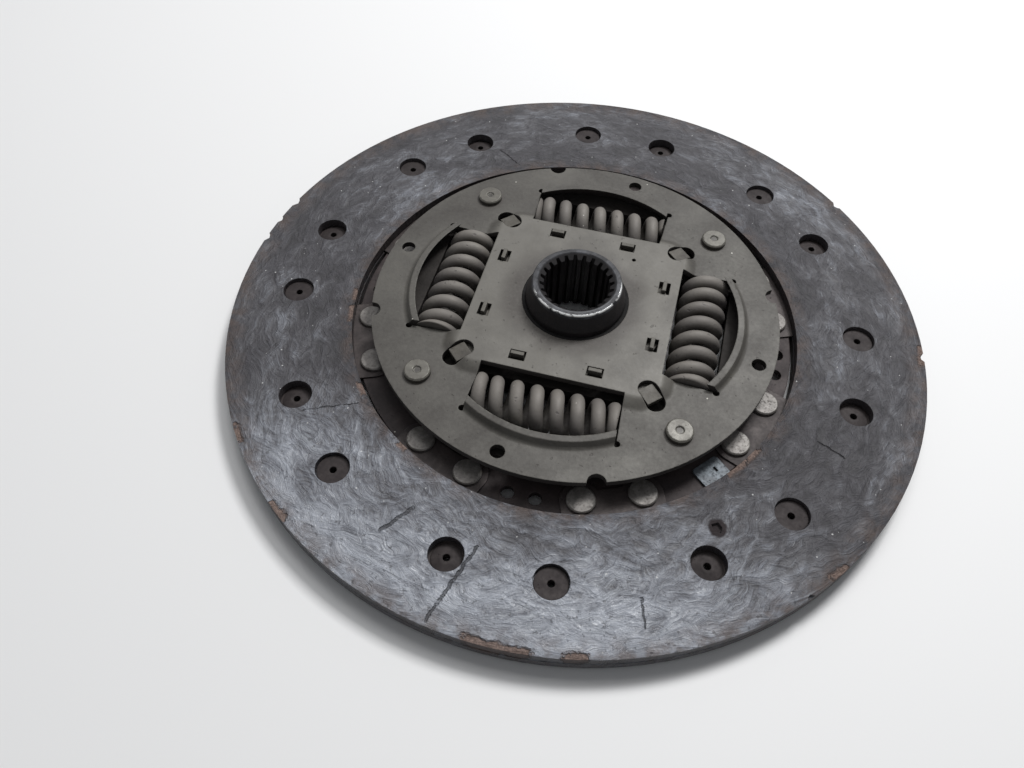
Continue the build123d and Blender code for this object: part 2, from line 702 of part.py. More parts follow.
with BuildPart() as diaphragm_spring:
    with BuildSketch(Plane.XZ):
        Polygon(
            (cone_inner_radius, control_plate_z - cone_thickness),
            (cone_inner_radius, control_plate_z),
            (cone_outer_radius, washer_top_z + cone_thickness),
            (cone_outer_radius, washer_top_z),
            align=None,
        )
    revolve(axis=Axis.Z)
save(diaphragm_spring, "diaphragm_spring")

guide_inner_radius = hub_body_radius + running_clearance
guide_sleeve_radius = plate_bore_radius - guide_wall_clearance
with BuildPart() as front_bush:
    with BuildSketch(Plane.XZ):
        Polygon(
            (guide_inner_radius, zone_underside_z - guide_collar_thickness),
            (front_guide_collar_radius, zone_underside_z - guide_collar_thickness),
            (front_guide_collar_radius, zone_underside_z),
            (guide_sleeve_radius, zone_underside_z),
            (guide_sleeve_radius, zone_top_z),
            (guide_inner_radius, zone_top_z),
            align=None,
        )
    revolve(axis=Axis.Z)
save(front_bush, "front_bush")

with BuildPart() as rear_friction_ring:
    with BuildSketch(Plane.XZ):
        Polygon(
            (guide_inner_radius, carrier_bottom_z),
            (guide_sleeve_radius, carrier_bottom_z),
            (guide_sleeve_radius, carrier_top_z),
            (rear_ring_outer_radius, carrier_top_z),
            (rear_ring_outer_radius, flange_bottom_z - face_clearance),
            (rear_ring_step_radius, flange_bottom_z - face_clearance),
            (rear_ring_step_radius, shoulder_bottom_z - face_clearance),
            (guide_inner_radius, shoulder_bottom_z - face_clearance),
            align=None,
        )
    revolve(axis=Axis.Z)
save(rear_friction_ring, "rear_friction_ring")

# === Balance clip ====================================================================================
# A folded strip pushed over the carrier plate's edge.
clip_outer_radius = carrier_outer_radius + clip_sheet
with BuildPart() as clip_blank:
    with BuildSketch(Plane.XZ):
        Polygon(
            (clip_inner_radius, carrier_top_z),
            (clip_inner_radius, carrier_top_z + clip_sheet),
            (clip_outer_radius, carrier_top_z + clip_sheet),
            (clip_outer_radius, carrier_bottom_z - clip_sheet),
            (clip_inner_radius, carrier_bottom_z - clip_sheet),
            (clip_inner_radius, carrier_bottom_z),
            (carrier_outer_radius, carrier_bottom_z),
            (carrier_outer_radius, carrier_top_z),
            align=None,
        )
    extrude(amount=clip_width / 2, both=True)
    fillet(clip_blank.edges().filter_by(Axis.Z).group_by(Axis.X)[0], clip_corner_rounding)
    with BuildSketch(Plane.XY.offset(carrier_top_z)):
        with Locations(((clip_inner_radius + clip_outer_radius) / 2, clip_slot_offset)):
            Rectangle(clip_slot_share * clip_reach, clip_slot_width)
    extrude(amount=clip_sheet, mode=Mode.SUBTRACT)

with BuildPart() as balance_clip:
    add(clip_blank.part, rotation=(0, 0, clip_angle))
save(balance_clip, "balance_clip")
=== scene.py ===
# %% [markdown]
# # A sprung clutch disc
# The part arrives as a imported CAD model. This notebook keeps every CAD piece where it is, winds the four
# damper springs anew because a plain solid can't show how a real one is wound and ground, and gives every
# piece a procedural finish. Blender works in metres; most sizes below are in millimetres and turned by MM.

# %% Load the frame
from functools import partial, reduce
from math import cos, pi, radians, sin

import bpy
import numpy as np
from mathutils import Matrix, Vector


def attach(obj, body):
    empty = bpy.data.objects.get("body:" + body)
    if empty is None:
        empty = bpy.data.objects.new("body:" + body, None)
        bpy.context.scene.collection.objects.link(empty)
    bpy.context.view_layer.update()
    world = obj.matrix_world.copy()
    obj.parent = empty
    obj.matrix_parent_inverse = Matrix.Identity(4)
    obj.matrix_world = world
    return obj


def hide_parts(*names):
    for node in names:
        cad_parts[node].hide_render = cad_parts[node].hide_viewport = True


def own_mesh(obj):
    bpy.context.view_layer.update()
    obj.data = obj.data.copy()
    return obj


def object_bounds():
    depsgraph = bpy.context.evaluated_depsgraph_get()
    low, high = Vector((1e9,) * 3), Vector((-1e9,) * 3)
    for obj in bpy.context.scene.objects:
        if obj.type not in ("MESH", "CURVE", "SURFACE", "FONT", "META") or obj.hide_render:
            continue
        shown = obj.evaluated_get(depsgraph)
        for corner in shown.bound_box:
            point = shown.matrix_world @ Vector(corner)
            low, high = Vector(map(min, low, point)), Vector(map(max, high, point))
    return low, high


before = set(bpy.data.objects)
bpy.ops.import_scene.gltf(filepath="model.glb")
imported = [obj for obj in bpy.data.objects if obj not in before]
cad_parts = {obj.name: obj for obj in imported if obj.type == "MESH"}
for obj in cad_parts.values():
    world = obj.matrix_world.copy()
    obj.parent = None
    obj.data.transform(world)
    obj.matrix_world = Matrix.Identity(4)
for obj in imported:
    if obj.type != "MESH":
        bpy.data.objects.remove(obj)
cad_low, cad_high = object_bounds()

MM = 0.001
scene = bpy.context.scene

# %% [markdown]
# ## Colours and nodes
# Colours are written as sRGB hex, the way a paint chart gives them, and one function turns them into the
# linear values that shaders work in. A second small function adds any shader node with its settings and
# links. It feeds the node's usable inputs in the order that Blender's own panel shows them, so a line such as
# node("TexNoise", place, 0.5, 3.0) reads as noise at a place, with a scale of 0.5 and 3 octaves of detail.
# Two more build on it: one lays a colour over another through a mask, and one joins masks.

# %% Helpers for colours and nodes


def linear(hex_colour):
    """sRGB hex to linear RGBA: c/12.92 below 0.04045, else ((c + 0.055) / 1.055) to the power 2.4."""
    c = np.array([int(hex_colour[i:i + 2], 16) for i in (1, 3, 5)]) / 255
    c = np.where(c <= 0.04045, c / 12.92, ((c + 0.055) / 1.055) ** 2.4)
    return (*c.tolist(), 1.0)


def feed(socket, value):
    """Gives an input its value: a node's output is linked, a hex colour is made linear, a number is set."""
    if isinstance(value, bpy.types.NodeSocket):
        socket.id_data.links.new(value, socket)
    else:
        socket.default_value = linear(value) if isinstance(value, str) else value


def add(tree, kind, *values, out=0, stops=(), **settings):
    """Adds a shader node, sets it, feeds its usable inputs in order and returns one of its outputs.

    None leaves an input as it is. stops are (position, hex colour) pairs for a colour ramp, and out is the
    number or the name of the output that is wanted."""
    made = tree.nodes.new("ShaderNode" + kind)
    for key, value in settings.items():
        setattr(made, key, value)
    for socket, value in zip([s for s in made.inputs if s.enabled], values):
        if value is not None:
            feed(socket, value)
    for number, (position, colour) in enumerate(stops):
        points = made.color_ramp.elements
        point = points[number] if number < len(points) else points.new(position)
        point.position, point.color = position, linear(colour)
    return made.outputs[out] if isinstance(out, str) else [s for s in made.outputs if s.enabled][out]


def new_material(name):
    """A node material: returns it, its principled shader's inputs, and add() tied to its tree."""
    material = bpy.data.materials.new(name)
    material.use_nodes = True
    tree = material.node_tree
    tree.nodes.clear()
    shader = tree.nodes.new("ShaderNodeBsdfPrincipled")
    tree.links.new(shader.outputs[0], tree.nodes.new("ShaderNodeOutputMaterial").inputs[0])
    return material, shader.inputs, partial(add, tree)


def paint(node, under, mask, strength, over):
    """Lays the colour `over` on the colour `under` where the mask is 1, with this strength at most."""
    return node("Mix", node("Math", mask, strength, operation="MULTIPLY"), under, over, data_type="RGBA")


def any_of(node, masks):
    """The largest of several masks at each point."""
    return reduce(lambda so_far, mask: node("Math", so_far, mask, operation="MAXIMUM"), masks)


print("mid grey #808080 is", [round(v, 3) for v in linear("#808080")[:3]], "in linear light")

# %% [markdown]
# ## Where a pattern sits
# Everything on a clutch disc is made and worn along circles, so most patterns need the distance from the axis
# and the direction around it. A plain angle has a seam where it jumps from +180 to -180 degrees. The direction
# as a unit arrow (cos a, sin a) has none, so the patterns below are wrapped on that arrow.

# %% Place, distance and direction
lining_middle = 98.0       # mm from the axis, half-way between the lining's rims
across_axis = (1.0, 1.0, 0.0)


def place_in_mm(node):
    """Where on the piece, in millimetres."""
    return node("VectorMath", node("TexCoord", out="Object"), 1 / MM, operation="SCALE")


def axis_distance(node, place):
    """Distance from the disc's axis, r = |(x, y)|."""
    flat = node("VectorMath", place, across_axis, operation="MULTIPLY")
    return node("VectorMath", flat, operation="LENGTH", out="Value")


def axis_direction(node, place):
    """Direction around the axis as the unit arrow (x, y) / |(x, y)|."""
    flat = node("VectorMath", place, across_axis, operation="MULTIPLY")
    return node("VectorMath", flat, operation="NORMALIZE")


def wound(node, direction, radius, across, along, lean=None):
    """Noise space for streaks: (cos a, sin a) * 98 / across, and radius / along, in which a streak is
    `across` mm wide and `along` mm long. lean is an angle, itself a socket, that turns the direction first,
    so lines of constant (a + lean) become the streaks."""
    if lean is not None:
        direction = node("VectorRotate", direction, (0.0, 0.0, 0.0), lean, rotation_type="Z_AXIS")
    ring = node("VectorMath", direction, lining_middle / across, operation="SCALE")
    rise = node("CombineXYZ", 0.0, 0.0, node("Math", radius, along, operation="DIVIDE"))
    return node("VectorMath", ring, rise, operation="ADD")


def facing_toward(node, direction, degrees, low, high):
    """1 on the side of the disc that this compass angle points at and 0 on the other side. It rises where
    the cosine of the angle between them goes from low to high."""
    arrow = (cos(radians(degrees)), sin(radians(degrees)), 0.0)
    share = node("VectorMath", direction, arrow, operation="DOT_PRODUCT", out="Value")
    return node("MapRange", share, low, high, 0.0, 1.0, interpolation_type="SMOOTHSTEP")


def specks(node, place, spacing, size, rarity):
    """Small round dots: a cell of `spacing` mm draws its luck from 0 to 1, has a dot where luck > rarity,
    and the dot's radius is luck * size * spacing."""
    cells = node("TexVoronoi", place, 1 / spacing, out="Distance").node.outputs
    luck = node("SeparateColor", cells["Color"], out="Red")
    dot = node("Math", cells["Distance"], node("Math", luck, size, operation="MULTIPLY"), operation="LESS_THAN")
    return node("Math", dot, node("Math", luck, rarity, operation="GREATER_THAN"), operation="MULTIPLY")


print("patterns are wrapped on circles of", lining_middle, "mm mean radius, the middle of the lining")

# %% [markdown]
# ## Friction lining
# The lining is wound from glass, cotton and fine brass or copper yarn that loops in waves between the two
# rims, baked in resin and ground flat. A yarn swings between the rims as a sine, r = 98 + 20 sin(n (a - a0)),
# and keeps the same a0 all along, so a0 = a - asin((r - 98) / 20) / n names the yarn that passes any point.
# Noise over a0 gives every yarn its own tone, and the other branch of the sine gives the yarns that fall where
# the first ones rise. The eye gets a slate grey with broad clouds, silvery wavy fibres where yarn is polished,
# a painted bluish sheen with painted glints and sparkles on the side toward -Y, browner rims, and pale ochre
# where an edge has chipped down to fresh resin.

# %% The lining's yarns
yarn_waves = 2.7               # n, waves in one turn of the ring
yarn_drift = 0.26              # radians: pressing the ring pushed a yarn by up to half of this either way
swing_radii = (76.8, 120.2)    # a little past the rims, so the arcsine never meets its ends
swing_ends = (-0.985, 0.985)


def yarn_angles(node, place, radius):
    """a0 - a of the yarns through a point, -asin(swing) / n where they rise and +asin(swing) / n where they
    fall, both with the same drift."""
    swing = node("MapRange", radius, *swing_radii, *swing_ends)
    lean = node("Math", node("Math", swing, operation="ARCSINE"), 1 / yarn_waves, operation="MULTIPLY")
    drift = node("Math", node("TexNoise", place, 1 / 13.0, 2.0, 0.5), 0.5, operation="SUBTRACT")
    rising = node("Math", lean, -1.0, node("Math", drift, yarn_drift, operation="MULTIPLY"),
                  operation="MULTIPLY_ADD")
    return rising, node("Math", drift, yarn_drift, lean, operation="MULTIPLY_ADD")


def yarn_noise(node, direction, radius, angles, patch, across, along, detail, roughness, warp):
    """Streaks along the rising yarns where patch is 0, and along the falling ones where it is 1."""
    rising, falling = (node("TexNoise", wound(node, direction, radius, across, along, angle), 1.0, detail,
                            roughness, 2.0, warp) for angle in angles)
    return node("Mix", patch, rising, falling)


print(yarn_waves, "waves of yarn in a turn")

# %% [markdown]
# Marks of use lie on the upper face. A torn place wanders by some millimetres around its drawn outline, which
# leaves it ragged, and it breaks off only close to a rim, because the middle of the lining is held all round.

# %% Marks on the worn lining
# Scratches and cracks as (start, end, width) and ochre chips as (place, size), on the upper face, in mm.
lining_scratches = [
    ((-7.6, -93.1), (-15.2, -117.4), 0.62), ((-29.5, -86.3), (-36.5, -95.6), 0.80),
    ((-74.8, -62.9), (-59.1, -55.7), 0.32), ((41.0, -95.5), (43.4, -103.5), 0.42),
    ((86.1, -30.5), (94.2, -34.2), 0.45), ((-38.4, 71.0), (-48.8, 77.8), 0.34),
]
lining_chips = [
    ((2.0, -119.6), 7.0), ((11.0, -119.2), 5.0), ((-90.2, -76.0), 4.2), ((-68.6, -98.6), 4.4),
    ((-74.9, -20.3), 4.0), ((-60.3, -50.7), 3.4), ((118.9, 14.0), 5.0), ((62.0, -47.2), 4.4),
    ((-77.3, -12.2), 3.2), ((27.0, -117.4), 4.0), ((66.0, -40.4), 3.6), ((95.0, -73.6), 4.0),
    ((-40.0, -67.2), 3.0),
]
lining_face = 3.75             # height of the upper face
pit_floor = (58.9, -68.5, lining_face - 1.0)   # the dark middle of a torn hole
chip_wander, line_wander = 7.0, 1.8            # mm, how far the outlines of chips and scratches stray


def scratch_depth(node, place, start, end, width):
    """1 on a scratch's middle line and 0 past its width. The distance to a segment is the distance to
    start + t * (end - start), with t the projection on the segment, held between 0 and 1."""
    start, end = Vector((*start, lining_face)), Vector((*end, lining_face))
    along = end - start
    offset = node("VectorMath", place, tuple(start), operation="SUBTRACT")
    t = node("VectorMath", offset, tuple(along / along.length_squared), operation="DOT_PRODUCT", out="Value")
    t = node("Math", t, 0.0, operation="ADD", use_clamp=True)
    nearest = node("VectorMath", tuple(along), t, operation="SCALE")
    distance = node("VectorMath", offset, nearest, operation="DISTANCE", out="Value")
    return node("MapRange", distance, width, width * 0.35, 0.0, 1.0, interpolation_type="SMOOTHSTEP")


def chip_share(node, place, centre, size):
    """1 inside a chip and 0 past its size."""
    away = node("VectorMath", place, (*centre, lining_face), operation="DISTANCE", out="Value")
    return node("MapRange", away, size, size * 0.8)


def lining_damage(node, place, radius, stain):
    """Where the lining is chipped, where it is scratched, and where it has its pit."""
    wander = node("VectorMath", node("TexNoise", place, 1 / 2.2, 3.0, 0.6, out="Color"), (0.5, 0.5, 0.5),
                  operation="SUBTRACT")
    chip_place, line_place = (
        node("VectorMath", place, node("VectorMath", wander, reach, operation="SCALE"), operation="ADD")
        for reach in (chip_wander, line_wander))
    # Fresh resin shows only within two millimetres of a rim, where pieces break away.
    ragged = node("Math", stain, 3.5, radius, operation="MULTIPLY_ADD")
    at_rim = any_of(node, [node("MapRange", ragged, 119.4, 120.2), node("MapRange", ragged, 81.2, 80.4)])
    chip = any_of(node, [chip_share(node, chip_place, *one) for one in lining_chips])
    chip = node("Math", chip, at_rim, operation="MULTIPLY")
    cut = any_of(node, [scratch_depth(node, line_place, *one) for one in lining_scratches])
    cut = node("Math", cut, node("MapRange", stain, 0.36, 0.50, 0.35, 1.0), operation="MULTIPLY")
    pit = node("VectorMath", line_place, pit_floor, operation="DISTANCE", out="Value")
    return chip, cut, node("MapRange", pit, 3.4, 2.6)


print(len(lining_scratches), "scratches and", len(lining_chips), "chips placed")

# %% [markdown]
# The colour is laid in the order in which the lining came by it: slate tones of yarn and resin, silver where
# fibre is rubbed bare, brown at the rims, then the marks of use, and dark dirt on every wall. Painted light
# lies
# in it too: a bluish sheen with glints and sparkles on the side toward -Y, and painted shade that deepens the
# walls to near black.

# %% Worn wound friction lining


def worn_lining(name):
    """Tones, silver, a painted sheen with painted glints, rims, damage, dirt and painted shade make the colour,
    and the same masks the roughness and relief.
    """
    material, shader, node = new_material(name)
    place = place_in_mm(node)
    radius, direction = axis_distance(node, place), axis_direction(node, place)

    # A patch of 7 mm shows either the rising or the falling yarns on top, as in a loose weave. Yarn is 1.8 mm
    # wide and 9 mm long between its dips, and single strands are 0.7 by 3 mm, drawn a little coarse.
    patch = node("MapRange", node("TexNoise", place, 1 / 7.0, 2.0, 0.5), 0.46, 0.54)
    woven = partial(yarn_noise, node, direction, radius, yarn_angles(node, place, radius), patch)
    yarn = woven(1.8, 9.0, 3.0, 0.6, 0.9)
    strand = woven(0.70, 3.0, 1.6, 0.55, 1.6)
    clump = woven(2.6, 7.0, 2.0, 0.55, 1.2)
    cloud = node("TexNoise", wound(node, direction, radius, 36.0, 17.0), 1.0, 4.0, 0.6, 2.0, 0.6)
    smear = node("TexNoise", wound(node, direction, radius, 9.0, 4.5), 1.0, 3.0, 0.6, 2.0, 1.0)
    grit = node("TexNoise", place, 1.3, 3.0, 0.65)
    stain = node("TexNoise", place, 1 / 5.0, 4.0, 0.65)

    # The part that faces -Y is painted lighter and bluish, a painted sheen; it is also rubbed harder, so it is
    # smoother and its strands lie bare.
    rub_and_sheen = node("Math", facing_toward(node, direction, -95.0, 0.42, 1.0),
                  node("MapRange", radius, 80.0, 114.0, 0.40, 1.0), operation="MULTIPLY")
    glaze_and_sheen = node("Math", rub_and_sheen, 0.6, cloud, operation="MULTIPLY_ADD")
    tone = node("Math", smear, 0.60, node("Math", cloud, 0.58, operation="MULTIPLY"), operation="MULTIPLY_ADD")
    tone = node("Math", node("Math", yarn, 0.5, operation="SUBTRACT"), 0.35, tone, operation="MULTIPLY_ADD")
    tone = node("Math", rub_and_sheen, 0.38, tone, operation="MULTIPLY_ADD")
    colour = node("ValToRGB", tone, stops=[(0.46, "#29272a"), (0.57, "#353337"), (0.66, "#454448"),
                                           (0.80, "#686a71"), (1.00, "#9a9ea7")])

    # Smeared silvery clumps, and painted glints on strands where the resin is rubbed off them, both stronger in
    # the painted sheen toward -Y; dark strands where it is torn out; and a few painted sparkle glints.
    silver = node("Math", node("MapRange", clump, 0.50, 0.70), node("MapRange", glaze_and_sheen, 0.55, 1.05, 0.04, 0.70),
                  operation="MULTIPLY")
    colour = node("Mix", silver, colour, "#a3a7ae", data_type="RGBA")
    bare_in_sheen = node("Math", node("MapRange", smear, 0.51, 0.60), node("MapRange", glaze_and_sheen, 0.45, 0.95, 0.14, 1.0),
                operation="MULTIPLY")
    glint = node("Math", node("MapRange", strand, 0.60, 0.68), bare_in_sheen, operation="MULTIPLY")
    colour = paint(node, colour, glint, 0.72, "#cfd1d5")
    colour = paint(node, colour, node("MapRange", strand, 0.40, 0.30), 0.18, "#2b2a2d")
    # Painted sparkle glints: tiny pale dots.
    colour = paint(node, colour, specks(node, place, 3.4, 0.085, 0.45), 0.8, "#c3c3c2")

    # Both rims are browner, and dark crumbs lie everywhere.
    rim = any_of(node, [node("MapRange", radius, 112.5, 119.0), node("MapRange", radius, 83.0, 78.0)])
    rim = node("Math", rim, node("MapRange", stain, 0.40, 0.60), operation="MULTIPLY")
    colour = paint(node, colour, rim, 0.65, "#54463f")
    crumbs = node("MapRange", node("TexNoise", place, 1 / 1.6, 2.0, 0.6), 0.63, 0.69)
    colour = paint(node, colour, crumbs, 0.55, "#242427")

    chip, cut, pit = lining_damage(node, place, radius, stain)
    fresh = node("ValToRGB", grit, stops=[(0.35, "#574840"), (0.55, "#786760"), (0.72, "#958277")])
    colour = node("Mix", chip, colour, fresh, data_type="RGBA")
    colour = paint(node, colour, cut, 0.70, "#252426")
    colour = node("Mix", pit, colour, "#2b2526", data_type="RGBA")

    # Walls of the rims and rivet pockets are darkened to near black: dirt, and painted shade where the lamps
    # don't reach.
    upright = node("SeparateXYZ", node("NewGeometry", out="Normal"), out="Z")
    wall_dirt_and_shade = node("MapRange", node("Math", upright, operation="ABSOLUTE"), 0.75, 0.35, 0.0, 0.82)
    colour = node("Mix", wall_dirt_and_shade, colour, "#272122", data_type="RGBA")
    feed(shader["Base Color"], colour)

    # Glaze and bare fibre shine, broken places are dull.
    broken = any_of(node, [chip, cut])
    rough = node("MapRange", glaze_and_sheen, 0.45, 1.05, 0.64, 0.33)
    rough = node("Math", node("Math", glint, silver, operation="ADD"), -0.14, rough, operation="MULTIPLY_ADD")
    rough = node("Math", broken, 0.35, rough, operation="MULTIPLY_ADD")
    rough = node("Math", pit, 0.5, rough, operation="MULTIPLY_ADD", use_clamp=True)
    feed(shader["Roughness"], rough)

    # Relief in units of 0.6 mm: strands and yarns stand up, smears roll gently, and broken places sink.
    relief = node("Math", strand, 0.28, node("Math", yarn, 0.6, operation="MULTIPLY"), operation="MULTIPLY_ADD")
    relief = node("Math", smear, 2.0, relief, operation="MULTIPLY_ADD")
    relief = node("Math", grit, 0.35, relief, operation="MULTIPLY_ADD")
    relief = node("Math", broken, -1.4, relief, operation="MULTIPLY_ADD")
    rounded = node("Bevel", 0.25 * MM, samples=4)
    feed(shader["Normal"], node("Bump", 1.0, 0.60 * MM, None, relief, rounded))
    return material


lining = worn_lining("worn_wound_friction_lining")
print("made", lining.name)

# %% [markdown]
# ## Dusty sheet metal and steel
# Pressed plates, rivets and springs of a used disc carry a film of pale clutch dust baked on with oil, so they
# look like matte warm paint rather than metal: low metallic, roughness near 0.55. The dust lies in broad
# clouds, collects around anything that stands up, and is rubbed off the edges. One function makes the whole
# family, because they differ only in colours, sheen and how clean their edges are.

# %% Dusty steel
edge_break = 0.45          # mm, the radius of a pressed or headed edge


def grease_and_shade_halo(node, place, cloud, x, y, clean, dirty):
    """1 within the radius `clean` of (x, y) and 0 past the radius `dirty`, with a cloudy outline."""
    flat = node("VectorMath", place, across_axis, operation="MULTIPLY")
    away = node("VectorMath", flat, (x, y, 0.0), operation="DISTANCE", out="Value")
    away = node("Math", cloud, dirty - clean, away, operation="MULTIPLY_ADD")
    return node("MapRange", away, clean, dirty, 1.0, 0.0, interpolation_type="SMOOTHSTEP")


def dusty_steel(name, dark, mid, light, metallic, rough, edge_light, cloud_size, depth=0.05, halos=(),
                halo="#3a3531", crown=None, side_grime_and_shade=0.5, gleam=0.5):
    """Steel, or a dark moulded part, under three tones of dust, with edges rubbed to edge_light, in mm.

    cloud_size and depth are the dust's cloud width and the depth of its grain. halos are (x, y, inner
    radius, outer radius): a patch of the colour halo fades outwards from the first radius to the second; it is
    greasy dirt on the cover, and painted shade in the dimples of the stop rivets. crown is (low, high, reach,
    colour): a lighter colour from the height low up to high, out to that distance from the axis.
    side_grime_and_shade is how black the faces are that look sideways or down: oily dirt where no pale dust
    settles, and painted shade where light from above doesn't reach. gleam is the specular level."""
    material, shader, node = new_material(name)
    place = place_in_mm(node)
    cloud = node("TexNoise", place, 1 / cloud_size, 4.0, 0.6, 2.0, 0.4)
    fine = node("TexNoise", place, 0.9, 3.0, 0.65)
    tone = node("Math", cloud, 0.7, node("Math", fine, 0.3, operation="MULTIPLY"), operation="MULTIPLY_ADD")
    colour = node("ValToRGB", tone, stops=[(0.32, dark), (0.50, mid), (0.68, light)])
    if crown:
        low, high, reach, crown_colour = crown
        # Faces from the height low up to high, out to the reach, take a lighter colour.
        raised_share = node("MapRange", node("SeparateXYZ", place, out="Z"), low, high, 0.0, 0.75)
        within = node("MapRange", axis_distance(node, place), reach, reach - 3.0)
        raised_share = node("Math", raised_share, within, operation="MULTIPLY")
        colour = node("Mix", raised_share, colour, crown_colour, data_type="RGBA")
    # Oil has soaked into the dust here and there and browned it.
    oil = node("MapRange", node("TexNoise", place, 1 / 19.0, 3.0, 0.55), 0.50, 0.68, 0.0, 0.40)
    colour = node("Mix", oil, colour, dark, data_type="RGBA")
    # Dark halos: greasy dirt around the cover's hub and rivets, painted shade in the stop rivets' dimples.
    for spot in halos:
        grease_and_shade = node("Math", grease_and_shade_halo(node, place, cloud, *spot),
                      node("MapRange", fine, 0.30, 0.55, 0.55, 0.92), operation="MULTIPLY")
        colour = node("Mix", grease_and_shade, colour, halo, data_type="RGBA")
    # Pale flying specks about 5 mm apart, and small dark nicks.
    colour = paint(node, colour, specks(node, place, 5.0, 0.055, 0.78), 0.8, "#c9c6bd")
    nick = node("MapRange", node("TexNoise", place, 1 / 1.9, 2.0, 0.55), 0.68, 0.73)
    colour = paint(node, colour, nick, 0.6, dark)
    # An edge is found where the rounded normal leaves the flat one, and dust is rubbed off it.
    normal, rounded = node("NewGeometry", out="Normal"), node("Bevel", edge_break * MM, samples=4)
    same = node("VectorMath", normal, rounded, operation="DOT_PRODUCT", out="Value")
    rub = node("Math", node("MapRange", same, 0.995, 0.87), node("MapRange", fine, 0.38, 0.58),
               operation="MULTIPLY")
    colour = paint(node, colour, rub, 0.65, edge_light)
    # Faces that look sideways or down are darkened: oily dirt, and painted shade where light from above doesn't
    # reach.
    upright = node("SeparateXYZ", normal, out="Z")
    colour = node("Mix", node("MapRange", upright, 0.30, 0.02, 0.0, side_grime_and_shade), colour, "#1c1817", data_type="RGBA")
    feed(shader["Base Color"], colour)
    feed(shader["Metallic"], metallic)
    feed(shader["Specular IOR Level"], gleam)
    feed(shader["Roughness"], node("MapRange", tone, 0.3, 0.7, rough + 0.08, rough - 0.08))
    relief = node("Math", nick, -1.5, fine, operation="MULTIPLY_ADD")
    feed(shader["Normal"], node("Bump", 1.0, depth * MM, None, relief, rounded))
    return material


print("edges are rounded to", edge_break, "mm")

# %% [markdown]
# Each line below is one real surface. The cover is phosphated, so its grey is warm and dull, and grease rings
# its hub and its rivets. The springs are shot peened, which leaves a fine even grain. The carrier plate, the
# segments and the flange lie lower, where oil keeps them near black. The bush is dark nylon filled with glass.

# %% Dusty finishes
stop_circle = 60.4         # mm from the axis to the stop rivets
stop_angles = [radians(45 + 90 * number) for number in range(4)]
stop_places = [(stop_circle * cos(angle), stop_circle * sin(angle)) for angle in stop_angles]
cover_halos = [(0.0, 0.0, 24.0, 33.0), *[(x, y, 5.0, 9.5) for x, y in stop_places]]
# Painted shade: a dark halo inside each stop rivet's dimple.
dimple_shade = [(x, y, 1.2, 2.6) for x, y in stop_places]

cover_sheet = dusty_steel(
    "dusty_phosphated_cover_sheet", "#34302c", "#44413c", "#514e48", 0.12, 0.60, "#7f7c75", 24.0,
    halos=cover_halos, crown=(9.8, 11.6, 47.0, "#6a6761"), side_grime_and_shade=0.88)
spring_wire_steel = dusty_steel(
    "dusty_shot_peened_spring_wire", "#514c4b", "#64605c", "#746f68", 0.10, 0.66, "#7d7872", 12.0, depth=0.07,
    crown=(8.0, 12.2, 60.0, "#78736d"), side_grime_and_shade=0.25)
diaphragm_steel = dusty_steel(
    "oiled_diaphragm_spring_steel", "#3a3634", "#4b4744", "#5a5652", 0.35, 0.50, "#75716c", 8.0)
stop_steel = dusty_steel(
    "dusty_stop_rivet_steel", "#48443e", "#57544d", "#66635b", 0.20, 0.46, "#b0ada5", 5.0,
    halos=dimple_shade, halo="#2a2623", side_grime_and_shade=0.6)
control_steel = dusty_steel(
    "dusty_control_plate_steel", "#322e2b", "#454139", "#524e48", 0.12, 0.60, "#6c6861", 6.0,
    crown=(10.9, 11.2, 60.0, "#57544d"))
carrier_steel = dusty_steel(
    "oily_carrier_plate_steel", "#221d1d", "#302828", "#403736", 0.10, 0.62, "#544a49", 12.0, gleam=0.3)
segment_steel = dusty_steel(
    "oily_cushion_segment_steel", "#272221", "#37302f", "#48403e", 0.15, 0.60, "#625a58", 8.0, gleam=0.35)
flange_steel = dusty_steel(
    "oily_hub_flange_steel", "#1f1c1a", "#2a2725", "#383431", 0.10, 0.70, "#4b4744", 10.0, gleam=0.2)
lining_rivet_steel = dusty_steel(
    "dull_lining_rivet_steel", "#231e1e", "#2d2727", "#383231", 0.15, 0.66, "#474140", 3.0, gleam=0.3)
washer_lining = dusty_steel(
    "moulded_friction_washer", "#26262a", "#303034", "#3b3b40", 0.0, 0.75, "#46464b", 5.0)
bush_nylon = dusty_steel(
    "dark_glass_filled_nylon", "#0e0d0d", "#131212", "#1b1919", 0.0, 0.70, "#232121", 5.0, gleam=0.12)
print("finishes so far:", len(bpy.data.materials))

# %% [markdown]
# ## Freckled rivets and the zinc clip
# The segment rivets' flat heads are soft steel, rubbed fairly bright and then freckled with dark grease. The
# balance clip is zinc plated, which gives it a bluish cast under the grease that sits in its corners.

# %% Freckled bright metal


